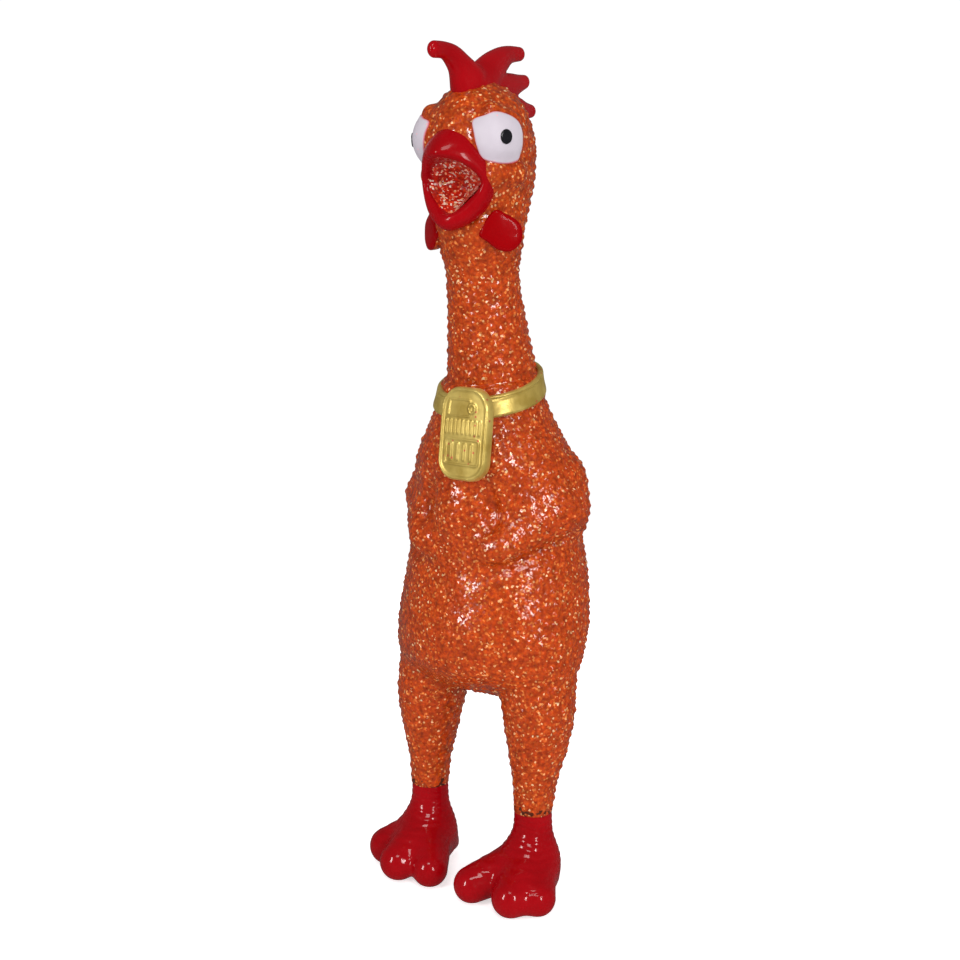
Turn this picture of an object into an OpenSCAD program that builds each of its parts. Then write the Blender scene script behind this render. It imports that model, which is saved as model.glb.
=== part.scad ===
// Squeezable rubber chicken, standing on two feet.
// +Z is up, the beak points towards -Y and the bird's left side is +X.
// The origin is on the floor, under the middle of the whole bird.

/* [Overall] */
// Fore-and-aft shift that puts the origin under the middle of the bird
fore_aft_shift = -8; // [-12:0.5:0]
// Thickness of the moulded vinyl skin
skin_wall = 2.4; // [1.6:0.2:3]
// Gap left between pieces that bend or press against each other
bend_gap = 0.4; // [0.3:0.05:0.6]

/* [Torso] */
// Half width of the torso at its widest, across the rump
rump_half_w = 38.6; // [36:0.2:41]
// Half depth of the torso at its widest
rump_half_d = 32.6; // [30:0.2:35]
// Height of the flat rim where the hips meet the torso
hip_z = 90; // [88:0.5:92]
// Half width of the soft press area on the belly
press_half_w = 14; // [10:0.5:14.5]
// Height of the lower edge of the press area
press_low = 110; // [109:0.5:114]
// Height of the upper edge of the press area
press_high = 148; // [140:0.5:149]

/* [Neck] */
// Height of the crease where the neck meets the torso
crease_z = 200; // [198:0.5:202]
// Forward lean of the neck
neck_lean = 10; // [8:0.5:12]
// Length of the lower half of the neck
neck_low_len = 22.3; // [20:0.1:24]
// Length of the whole neck, crease to throat
neck_len = 43.6; // [42:0.1:45]
// Swing left free at each neck bend, either way
neck_swing = 20; // [10:1:21]

/* [Hips and ankles] */
// Radius of the round top of each leg
hip_r = 14.5; // [13.5:0.1:14.6]
// Distance of each hip centre from the middle
hip_x = 21.5; // [21.4:0.1:22]
// Height of the ankle, where the painted foot begins
ankle_z = 34; // [33:0.5:36]
// Distance of each ankle from the middle
ankle_x = 24.5; // [24:0.1:25]
// Radius of the leg at the ankle
ankle_r = 7.6; // [7.4:0.1:8]

/* [Collar and tag] */
// Height of the moulded collar band
collar_h = 8.4; // [6:0.2:10]
// How far the collar band stands proud of the neck
collar_t = 1.8; // [1.2:0.2:2.6]
// Width of the hanging tag
tag_w = 25; // [20:0.5:28]
// Length of the hanging tag
tag_h = 35; // [30:0.5:38]
// Thickness of the tag
tag_t = 3.6; // [3:0.2:4.4]

/* [Squeaker] */
// Outside radius of the squeaker barrel
barrel_r = 8.8; // [8:0.1:9.4]
// Length of the squeaker barrel
barrel_len = 32; // [26:0.5:34]
// Thickness of the vibrating reed
reed_t = 0.5; // [0.4:0.05:0.8]

/* [Comb] */
// Thickness of the comb
comb_t = 5; // [4:0.2:6]

/* [Hidden] */

skin_col = "#d4561f";
paint_red = "#c41220";
paint_gold = "#a8963a";
eye_white = "#efeaf0";
pupil_col = "#141414";
squeak_col = "#e9e6da";
reed_col = "#c9a227";

seg = 40;                                    // sides of a skin ring
crease_y = 8;                                // fore-and-aft place of the crease centre
hip_y = 4.5;
ankle_y = 0.3;
neck_ball = 13;                              // round root of the lower neck
mid_ball = 11;                               // round root of the upper neck
ankle_ball = 5.6;                            // round root of each foot

// ---- helpers -------------------------------------------------------------

// Catmull-Rom through rows a, b, c, d
function cr(a, b, c, d, t) = 0.5 * (2*b + (c - a)*t + (2*a - 5*b + 4*c - d)*t*t + (3*b - a - 3*c + d)*t*t*t);
function at(s, i) = s[max(0, min(len(s) - 1, i))];
function smooth(s, n) = [for (i = [0:len(s) - 2]) for (k = [0:n - 1])
    cr(at(s, i - 1), at(s, i), at(s, i + 1), at(s, i + 2), k / n), s[len(s) - 1]];
function grow(s, d) = [for (r = s) [r[0], r[1], r[2], r[3] + d, r[4] + d]];

// closed skin through rows [z, x, y, half width, half depth]
module loft(s, n = seg) {
    m = len(s);
    pts = [for (r = s) for (k = [0:n - 1]) [r[1] + r[3]*cos(360*k/n), r[2] + r[4]*sin(360*k/n), r[0]]];
    faces = concat(
        [[for (k = [0:n - 1]) k]],
        [for (i = [0:m - 2]) for (k = [0:n - 1])
            let (a = i*n + k, b = i*n + (k + 1) % n, c = a + n, d = b + n) each [[a, c, b], [b, c, d]]],
        [[for (k = [n - 1:-1:0]) (m - 1)*n + k]]);
    polyhedron(points = pts, faces = faces, convexity = 4);
}

module place() { translate([0, fore_aft_shift, 0]) children(); }
// frame of the neck: origin in the crease, z along the neck
module neck_frame() { translate([0, crease_y, crease_z]) rotate([neck_lean, 0, 0]) children(); }
module above(z) { translate([0, 0, z + 100]) cube([200, 200, 200], center = true); }
module both() { children(); mirror([1, 0, 0]) children(); }
module ball(r) { sphere(r = r, $fn = 48); }

// ---- torso ---------------------------------------------------------------

torso_rows = smooth([
    [hip_z,  0,  6.8, rump_half_w - 1.4, rump_half_d - 2.6],
    [98,     0,  8.1, rump_half_w - 0.2, rump_half_d - 0.8],
    [110,    0, 10.1, rump_half_w,       rump_half_d],
    [126,    0, 12.1, rump_half_w - 2.2, rump_half_d - 1.4],
    [141,    0, 12.3, rump_half_w - 4.6, rump_half_d - 2.4],
    [157,    0, 12.6, rump_half_w - 5.2, rump_half_d - 3],
    [170,    0, 11.6, rump_half_w - 8.8, rump_half_d - 5.4],
    [180,    0,  9.8, 24.6, 23],
    [190,    0,  8.4, 21,   20.2],
    [199,    0,  7.8, 18.6, 18.4],
    [208,    0,  6.4, 17.4, 17.4]], 2);

// the air space inside, from just over the hips to the throat ring
air_rows = smooth([
    [96,     0,  8,   rump_half_w - 6,   rump_half_d - 7],
    [110,    0, 10.1, rump_half_w - skin_wall,       rump_half_d - skin_wall],
    [126,    0, 12.1, rump_half_w - skin_wall - 2.2, rump_half_d - skin_wall - 1.4],
    [141,    0, 12.3, rump_half_w - skin_wall - 4.6, rump_half_d - skin_wall - 2.4],
    [157,    0, 12.6, rump_half_w - skin_wall - 5.2, rump_half_d - skin_wall - 3],
    [170,    0, 11.6, 25.4, 23.6],
    [177,    0, 10.2, 20,   19]], 2);

module torso_body() {
    difference() {
        loft(torso_rows);
        neck_frame() above(0);
    }
}

// the middle of the crotch hangs a little lower, between the legs
crotch_rows = smooth([
    [78,     0, 6,   4,  4],
    [79.5,   0, 6,  14, 11],
    [83,     0, 6.2, 26, 20],
    [hip_z + 1, 0, 6.8, rump_half_w - 3, rump_half_d - 5]], 2);
module crotch() {
    intersection() {
        loft(crotch_rows);
        translate([0, 0, hip_z - 15]) cube([12.4, 90, 31], center = true);
    }
}

module press_prism(g) {
    translate([0, -30, (press_low + press_high)/2])
        cube([2*(press_half_w + g), 60, press_high - press_low + 2*g], center = true);
}

module hip_cups() {
    both() intersection() {
        translate([hip_x, hip_y, hip_z]) ball(hip_r + bend_gap + skin_wall);
        translate([0, 0, hip_z + 50]) cube([200, 200, 100], center = true);
    }
}

module torso_skin() color(skin_col) place() difference() {
    union() {
        difference() { torso_body(); loft(air_rows); }
        intersection() { hip_cups(); torso_body(); }
        crotch();
    }
    both() translate([hip_x, hip_y, hip_z]) ball(hip_r + bend_gap);
    neck_frame() ball(neck_ball + bend_gap);
    translate([0, crease_y, 140]) cylinder(r = barrel_r, h = 50, $fn = 64);
    press_prism(bend_gap);
}

module belly_panel() color(skin_col) place() intersection() {
    difference() { torso_body(); loft(air_rows); }
    press_prism(0);
}

// folded wing: shoulder at the side, sweeping forward and down to its tip
module wing_lobe() {
    difference() {
        union() {
            hull() {
                translate([26.5, 12, 161]) sphere(r = 8.5, $fn = 30);
                translate([27.5, 16, 149]) sphere(r = 8.5, $fn = 30);
                translate([26, -1, 152]) sphere(r = 8, $fn = 30);
            }
            hull() {
                translate([26, -1, 151]) sphere(r = 7.6, $fn = 30);
                translate([27.5, 6, 147]) sphere(r = 8, $fn = 30);
                translate([20.5, -9.5, 140]) sphere(r = 5.4, $fn = 30);
            }
        }
        loft(torso_rows);
    }
}
module left_wing() color(skin_col) place() wing_lobe();
module right_wing() color(skin_col) place() mirror([1, 0, 0]) wing_lobe();

module tail() color(skin_col) place() difference() {
    hull() {
        translate([0, 36, 111]) sphere(r = 8, $fn = 30);
        translate([0, 44.2, 119]) sphere(r = 3.6, $fn = 24);
    }
    loft(torso_rows);
}

// ---- collar and tag --------------------------------------------------------

module collar_band() color(paint_gold) place() difference() {
    intersection() {
        loft(grow(torso_rows, collar_t));
        neck_frame() translate([0, 0, -5 - collar_h/2]) cube([80, 80, collar_h], center = true);
    }
    loft(torso_rows);
}

module tag_outline(g) {
    hull() for (x = [-1, 1], y = [-1, 1])
        translate([x*(tag_w/2 - 8.5), y*(tag_h/2 - 8.5)]) circle(r = 8.5 - g, $fn = 40);
}

// tag: rounded plate with a raised rim, hanging a little to the bird's left
module name_tag() color(paint_gold) place() difference() {
    translate([0, crease_y, 0]) rotate([0, 0, 12]) translate([0, -22.4, 178.6]) rotate([81, 0, 0])
        difference() {
            translate([0, 0, -4]) linear_extrude(height = tag_t + 4) tag_outline(0);
            translate([0, 0, tag_t - 0.6]) linear_extrude(height = 2) tag_outline(1.8);
        }
    loft(torso_rows);
    intersection() {
        loft(grow(torso_rows, collar_t));
        neck_frame() translate([0, 0, -5 - collar_h/2]) cube([80, 80, collar_h], center = true);
    }
}

// ---- squeaker ----------------------------------------------------------------

barrel_top = 184;
barrel_low = barrel_top - barrel_len;
bore_r = barrel_r - 1.3;
block_top = barrel_low + 8;

module squeaker_barrel() color(squeak_col) place() translate([0, crease_y, 0]) difference() {
    union() {
        translate([0, 0, barrel_low]) cylinder(r = barrel_r, h = barrel_len, $fn = 64);
        translate([0, 0, 175]) cylinder(r = barrel_r + 3, h = 2, $fn = 64);
    }
    translate([0, 0, barrel_low - 1]) cylinder(r = bore_r, h = barrel_len - 1, $fn = 64);
    translate([0, 0, barrel_top - 3]) cylinder(r = 4, h = 5, $fn = 40);
}

// grille that closes the lower end of the barrel
module squeaker_cap() color(squeak_col) place() translate([0, crease_y, barrel_low]) difference() {
    union() {
        translate([0, 0, -1.6]) cylinder(r = barrel_r + 1.2, h = 1.6, $fn = 64);
        difference() {
            translate([0, 0, -1.6]) cylinder(r = bore_r, h = 5, $fn = 64);
            translate([0, 0, -2]) cylinder(r = bore_r - 1.2, h = 8, $fn = 64);
        }
        translate([0, 0, -1.6]) cylinder(r = bore_r - 1, h = 1.6, $fn = 64);
    }
    for (a = [0:60:300]) rotate([0, 0, a]) translate([4.2, 0, -3]) cylinder(r = 1.3, h = 6, $fn = 24);
    translate([0, 0, -3]) cylinder(r = 1.3, h = 6, $fn = 24);
}

// half-round shallot with the air groove that the reed covers
module reed_block() color(squeak_col) place() translate([0, crease_y, 0]) difference() {
    union() {
        translate([0, 0, block_top + 10]) cylinder(r = bore_r, h = 4, $fn = 64);
        intersection() {
            translate([0, 0, block_top - 2]) cylinder(r = 5, h = 13, $fn = 48);
            translate([-10, 0, 0]) cube([20, 20, 200]);
        }
    }
    translate([0, 2.2, block_top - 1]) rotate([0, 0, 0]) cylinder(r = 1.5, h = 20, $fn = 32);
    translate([-1.2, -1, block_top - 0.5]) cube([2.4, 3, 9]);
}

// thin reed, clamped at its upper end and free to lift from the block
module reed_tongue() color(reed_col) place() translate([0, crease_y, 0])
    translate([-2.6, -0.35 - reed_t, block_top - 2]) cube([5.2, reed_t, 10.4]);

// clip that holds the root of the reed against the block
module reed_clip() color(squeak_col) place() translate([0, crease_y, 0])
    difference() {
        translate([-3.4, -3.4, block_top + 8.8]) cube([6.8, 3.4, 1.2]);
        translate([-3.5, -1.6, block_top + 8.6]) cube([7, 1.6, 0.2]);
    }

// ---- neck ----------------------------------------------------------------------

// half profile of the neck skin between two heights along the neck
function neck_r(z) = z < 22 ? 16.9 - 0.118*z : 14.3 - 0.062*(z - 22);

module neck_lower() color(skin_col) place() neck_frame() difference() {
    union() {
        ball(neck_ball);
        cylinder(r = neck_ball*cos(neck_swing) - 0.4, h = 8, $fn = 64);
        rotate_extrude($fn = 72) polygon([[0, 6.6], [neck_r(6.6) - 1, 6.6], [neck_r(7.6), 7.6],
            [neck_r(14), 14], [neck_r(neck_low_len), neck_low_len], [0, neck_low_len]]);
    }
    translate([0, 0, neck_low_len]) ball(mid_ball + bend_gap);
    translate([0, 0, -20]) cylinder(r = 4.5, h = 60, $fn = 40);
}

module neck_upper() color(skin_col) place() neck_frame() difference() {
    union() {
        translate([0, 0, neck_low_len]) ball(mid_ball);
        translate([0, 0, neck_low_len]) cylinder(r = mid_ball*cos(neck_swing) - 0.4, h = 8, $fn = 64);
        rotate_extrude($fn = 72) polygon([[0, neck_low_len + 5.8], [13.2, neck_low_len + 5.8], [neck_r(29), neck_low_len + 6.8],
            [neck_r(36), 36], [13.3, neck_len - bend_gap], [0, neck_len - bend_gap]]);
    }
    translate([0, 0, neck_len - 10.4]) cylinder(r = 8.05, h = 12, $fn = 64);
    translate([0, 0, 0]) cylinder(r = 4.5, h = 60, $fn = 40);
}

// ---- head ------------------------------------------------------------------------

head_rows = smooth([
    [236,  0,  2,   12.6, 12.6],
    [243,  0,  1,   13.2, 13.4],
    [250,  0, -1.4, 15.2, 17],
    [257,  0, -3,   16.6, 19.6],
    [264,  0, -2,   17.6, 22.4],
    [272,  0, -0.8, 18.8, 24.6],
    [280,  0,  0.6, 19,   25.4],
    [288,  0,  1.6, 18,   24.8],
    [295,  0,  2.2, 15.4, 22.4],
    [300,  0,  2.8, 12.4, 17.6],
    [303.6, 0, 3,    8,   11.2],
    [305,  0,  3,    2.5, 4]], 2);

mouth_c = [0, -24, 269.5];

module mouth_space(r) { translate(mouth_c) ball(r); }

module head_skin() color(skin_col) place() union() {
    difference() {
        loft(head_rows);
        intersection() {
            loft(grow(head_rows, -skin_wall));
            translate([0, 0, 275]) cube([80, 80, 52], center = true);
        }
        neck_frame() mirror([0, 0, 1]) above(-neck_len);
        mouth_space(11.6);
        neck_frame() cylinder(r = 4.5, h = 60, $fn = 40);
    }
    // spigot that turns in the top of the neck
    neck_frame() difference() {
        translate([0, 0, neck_len - 9.8]) cylinder(r = 8, h = 10.4, $fn = 64);
        translate([0, 0, neck_len - 12]) cylinder(r = 4.5, h = 20, $fn = 40);
    }
}

// shallow bowl behind the beak, with the small hole that lets the sound out
module mouth_lining() color("#b5391c") place() difference() {
    intersection() { mouth_space(11.6); loft(head_rows); }
    mouth_space(10);
    translate(mouth_c) rotate([-90, 0, 0]) cylinder(r = 1.2, h = 30, $fn = 32);
}

module upper_beak() color(paint_red) place() difference() {
    hull() {
        both() translate([12.6, -14.6, 274.4]) sphere(r = 2.4, $fn = 30);
        translate([0, -29.4, 281.4]) sphere(r = 2.6, $fn = 30);
        translate([0, -18.6, 286.6]) sphere(r = 4, $fn = 30);
        both() translate([6.4, -23.4, 280]) sphere(r = 3, $fn = 30);
    }
    loft(head_rows);
    mouth_space(10);
}

module lower_beak() color(paint_red) place() difference() {
    hull() {
        both() translate([12.4, -14.6, 269]) sphere(r = 2.4, $fn = 30);
        translate([0, -24.4, 258]) sphere(r = 3, $fn = 30);
        translate([0, -18, 255.4]) sphere(r = 3, $fn = 30);
        both() translate([6, -22.2, 261.4]) sphere(r = 3, $fn = 30);
    }
    loft(head_rows);
    mouth_space(10);
}

// one prong of the comb: discs along a curved centre line [y, z, radius]
module prong(p) {
    for (i = [0:len(p) - 2]) hull() {
        translate([p[i][0], p[i][1]]) circle(r = p[i][2], $fn = 20);
        translate([p[i + 1][0], p[i + 1][1]]) circle(r = p[i + 1][2], $fn = 20);
    }
}

module comb() color(paint_red) place() difference() {
    translate([-comb_t/2, 0, 0]) rotate([90, 0, 90]) linear_extrude(height = comb_t) {
        prong([[-4, 304, 7], [-10.5, 309.5, 5], [-16.5, 313.6, 4], [-22.5, 315.6, 3.4], [-28.4, 316.8, 3.2]]);
        prong([[-4, 304, 7], [5, 307.5, 6], [12, 312.6, 4.4], [19, 316.2, 3.4], [27.6, 317.4, 2.4]]);
        prong([[5, 302, 7], [18, 303.6, 5.5], [26, 306, 3.6], [31.2, 306.8, 2]]);
        prong([[8, 296, 7], [22, 296.6, 6], [31, 297.6, 3.6], [35.4, 296.8, 2]]);
    }
    loft(head_rows);
}

module eye_pad(h) {
    translate([15.2, -11.5, 286]) rotate([0, 0, 55]) rotate([90, 0, 0])
        linear_extrude(height = h) hull() {
            translate([-4.6, 4.6]) circle(r = 4.4, $fn = 32);
            translate([4.8, 4.2]) circle(r = 4.4, $fn = 32);
            translate([5, -4.6]) circle(r = 4, $fn = 32);
            translate([-3.6, -5]) circle(r = 4, $fn = 32);
        }
}
module pupil_bar() {
    translate([15.9, -10.5, 285.8]) rotate([0, 0, 55]) rotate([90, 0, 0]) cylinder(r = 2.5, h = 5.2, $fn = 48);
}
module eye_white_l() {
    difference() {
        intersection() { translate([9.8, -7.7, 286]) ball(11.5); eye_pad(12); }
        loft(head_rows);
        pupil_bar();
    }
}
module pupil_l() { difference() { pupil_bar(); loft(head_rows); } }

module left_eye() color(eye_white) place() eye_white_l();
module right_eye() color(eye_white) place() mirror([1, 0, 0]) eye_white_l();
module left_pupil() color(pupil_col) place() pupil_l();
module right_pupil() color(pupil_col) place() mirror([1, 0, 0]) pupil_l();

module wattle_l() {
    difference() {
        hull() {
            translate([14, -13, 258.6]) sphere(r = 2.4, $fn = 28);
            translate([12.6, -14, 252.4]) sphere(r = 2.4, $fn = 28);
            translate([16.4, -5.4, 247.6]) sphere(r = 2.6, $fn = 28);
            translate([18, -2.6, 254.6]) sphere(r = 2.4, $fn = 28);
        }
        loft(head_rows);
    }
}
module left_wattle() color(paint_red) place() wattle_l();
module right_wattle() color(paint_red) place() mirror([1, 0, 0]) wattle_l();

// ---- legs and feet -------------------------------------------------------------

leg_rows = smooth([
    [ankle_z, ankle_x, ankle_y, ankle_r, ankle_r],
    [44,  24.7, 0.8, 7.9, 7.9],
    [53,  25,   1.5, 9.9, 9.9],
    [62,  25.2, 2.3, 12,  12],
    [75,  24.9, 3.1, 13.8, 13.8],
    [79.5, 23.9, 3.6, 13.8, 13.8],
    [84,  22.3, 4.2, 12.6, 12.6]], 2);

module leg_l() {
    difference() {
        union() {
            loft(leg_rows);
            translate([hip_x, hip_y, hip_z]) ball(hip_r);
        }
        translate([ankle_x, ankle_y, ankle_z]) ball(ankle_ball + bend_gap);
    }
}
module left_leg() color(skin_col) place() leg_l();
module right_leg() color(skin_col) place() mirror([1, 0, 0]) leg_l();

module toe(a, b, ra, rb) {
    hull() {
        translate(a) sphere(r = ra, $fn = 32);
        translate(b) sphere(r = rb, $fn = 32);
    }
}

module foot_l() {
    difference() {
        union() {
            translate([ankle_x, ankle_y, ankle_z]) ball(ankle_ball);
            translate([ankle_x, ankle_y, 20]) cylinder(r = 4.8, h = ankle_z - 20, $fn = 48);
            translate([ankle_x, ankle_y, 6]) cylinder(r1 = 9.6, r2 = 7.4, h = ankle_z - 4 - 6, $fn = 64);
            toe([23, -2, 7], [11.4, -19.4, 5.2], 9, 6.4);
            toe([25, -3, 7], [27, -21.4, 5.4], 9.4, 6.6);
            toe([27.4, -1, 7], [36.4, -14.6, 5.4], 9, 6.6);
            toe([24.5, 1, 6.4], [22.6, 8.8, 4.6], 9, 5.6);
        }
        translate([0, 0, -50]) cube([200, 200, 100], center = true);
    }
}
module left_foot() color(paint_red) place() foot_l();
module right_foot() color(paint_red) place() mirror([1, 0, 0]) foot_l();

// ---- the assembly ---------------------------------------------------------------

torso_skin();
belly_panel();
left_wing();
right_wing();
tail();
collar_band();
name_tag();
squeaker_barrel();
squeaker_cap();
reed_block();
reed_clip();
reed_tongue();
neck_lower();
neck_upper();
head_skin();
mouth_lining();
upper_beak();
lower_beak();
comb();
left_eye();
right_eye();
left_pupil();
right_pupil();
left_wattle();
right_wattle();
left_leg();
right_leg();
left_foot();
right_foot();
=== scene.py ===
import math
import bpy
import numpy as np
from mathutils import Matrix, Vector, kdtree


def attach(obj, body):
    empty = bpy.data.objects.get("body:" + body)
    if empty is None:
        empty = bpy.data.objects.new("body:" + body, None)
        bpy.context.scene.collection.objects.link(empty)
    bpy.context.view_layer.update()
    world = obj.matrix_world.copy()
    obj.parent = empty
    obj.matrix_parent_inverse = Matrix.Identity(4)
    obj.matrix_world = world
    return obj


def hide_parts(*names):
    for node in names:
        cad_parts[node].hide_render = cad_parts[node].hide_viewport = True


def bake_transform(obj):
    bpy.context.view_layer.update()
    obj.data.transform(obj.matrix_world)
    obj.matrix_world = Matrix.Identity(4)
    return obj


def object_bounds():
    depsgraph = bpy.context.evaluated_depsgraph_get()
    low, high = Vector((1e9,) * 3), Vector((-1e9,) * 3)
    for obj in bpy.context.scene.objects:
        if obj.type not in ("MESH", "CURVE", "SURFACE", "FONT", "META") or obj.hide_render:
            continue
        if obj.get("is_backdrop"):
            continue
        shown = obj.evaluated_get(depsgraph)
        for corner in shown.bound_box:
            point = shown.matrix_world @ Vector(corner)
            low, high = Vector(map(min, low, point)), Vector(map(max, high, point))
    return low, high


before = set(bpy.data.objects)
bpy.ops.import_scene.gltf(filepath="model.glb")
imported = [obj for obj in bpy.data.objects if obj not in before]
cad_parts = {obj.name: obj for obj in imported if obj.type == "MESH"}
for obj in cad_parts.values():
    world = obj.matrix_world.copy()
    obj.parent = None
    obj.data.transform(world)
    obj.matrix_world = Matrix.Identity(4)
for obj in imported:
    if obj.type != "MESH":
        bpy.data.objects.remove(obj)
CAD_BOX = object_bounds()
DY = -8.0                      # the shapes below are worked in mm with y = 0 midway between the ankles


def cad(P):
    return (np.asarray(P, float).reshape(-1, 3) + np.array([0.0, DY, 0.0])) * 0.001


# ---------------------------------------------------------------- materials
def new_mat(name):
    m = bpy.data.materials.new(name)
    m.use_nodes = True
    nt = m.node_tree
    nt.nodes.clear()
    out = nt.nodes.new("ShaderNodeOutputMaterial")
    b = nt.nodes.new("ShaderNodeBsdfPrincipled")
    nt.links.new(b.outputs[0], out.inputs[0])
    return m, nt, b


def node(nt, kind, **kw):
    n = nt.nodes.new(kind)
    for k, v in kw.items():
        setattr(n, k, v)
    return n


def rest(nt, scale):
    a = node(nt, "ShaderNodeAttribute", attribute_type="GEOMETRY", attribute_name="rest_co")
    mp = node(nt, "ShaderNodeMapping")
    mp.inputs["Scale"].default_value = (scale, scale, scale)
    nt.links.new(a.outputs["Vector"], mp.inputs["Vector"])
    return mp.outputs[0]


def ramp(nt, fac, stops, interp="LINEAR"):
    r = node(nt, "ShaderNodeValToRGB")
    r.color_ramp.interpolation = interp
    e = r.color_ramp.elements
    while len(e) < len(stops):
        e.new(0.5)
    for i, (p, c) in enumerate(stops):
        e[i].position = p
        e[i].color = (*c, 1) if len(c) == 3 else c
    nt.links.new(fac, r.inputs[0])
    return r.outputs[0]


def math_n(nt, op, a, b=None, c=None, clamp=False):
    m = node(nt, "ShaderNodeMath", operation=op, use_clamp=clamp)
    for i, v in enumerate((a, b, c)):
        if v is None:
            continue
        if isinstance(v, (int, float)):
            m.inputs[i].default_value = v
        else:
            nt.links.new(v, m.inputs[i])
    return m.outputs[0]


def mix_col(nt, fac, a, b, mode="MIX"):
    m = node(nt, "ShaderNodeMix", data_type="RGBA", blend_type=mode)
    for k, v in ((0, fac), (6, a), (7, b)):
        if isinstance(v, (int, float)):
            m.inputs[k].default_value = v
        elif isinstance(v, tuple):
            m.inputs[k].default_value = (*v, 1)
        else:
            nt.links.new(v, m.inputs[k])
    return m.outputs[2]


def flakes(nt, scale, tilt, seed):
    """one layer of glitter: random value per flake, and a normal tilted at random per flake"""
    v = node(nt, "ShaderNodeTexVoronoi", feature="F1")
    v.inputs["Scale"].default_value = 1.0
    v.inputs["Randomness"].default_value = 1.0
    co = rest(nt, scale)
    add = node(nt, "ShaderNodeVectorMath", operation="ADD")
    add.inputs[1].default_value = (seed, seed * 0.7, seed * 1.3)
    nt.links.new(co, add.inputs[0])
    nt.links.new(add.outputs[0], v.inputs["Vector"])
    sep = node(nt, "ShaderNodeSeparateColor")
    nt.links.new(v.outputs["Color"], sep.inputs[0])
    sub = node(nt, "ShaderNodeVectorMath", operation="SUBTRACT")
    nt.links.new(v.outputs["Color"], sub.inputs[0])
    sub.inputs[1].default_value = (0.5, 0.5, 0.5)
    sc = node(nt, "ShaderNodeVectorMath", operation="SCALE")
    nt.links.new(sub.outputs[0], sc.inputs[0])
    sc.inputs["Scale"].default_value = tilt
    return sep.outputs, sc.outputs[0], v.outputs["Distance"]


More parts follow.
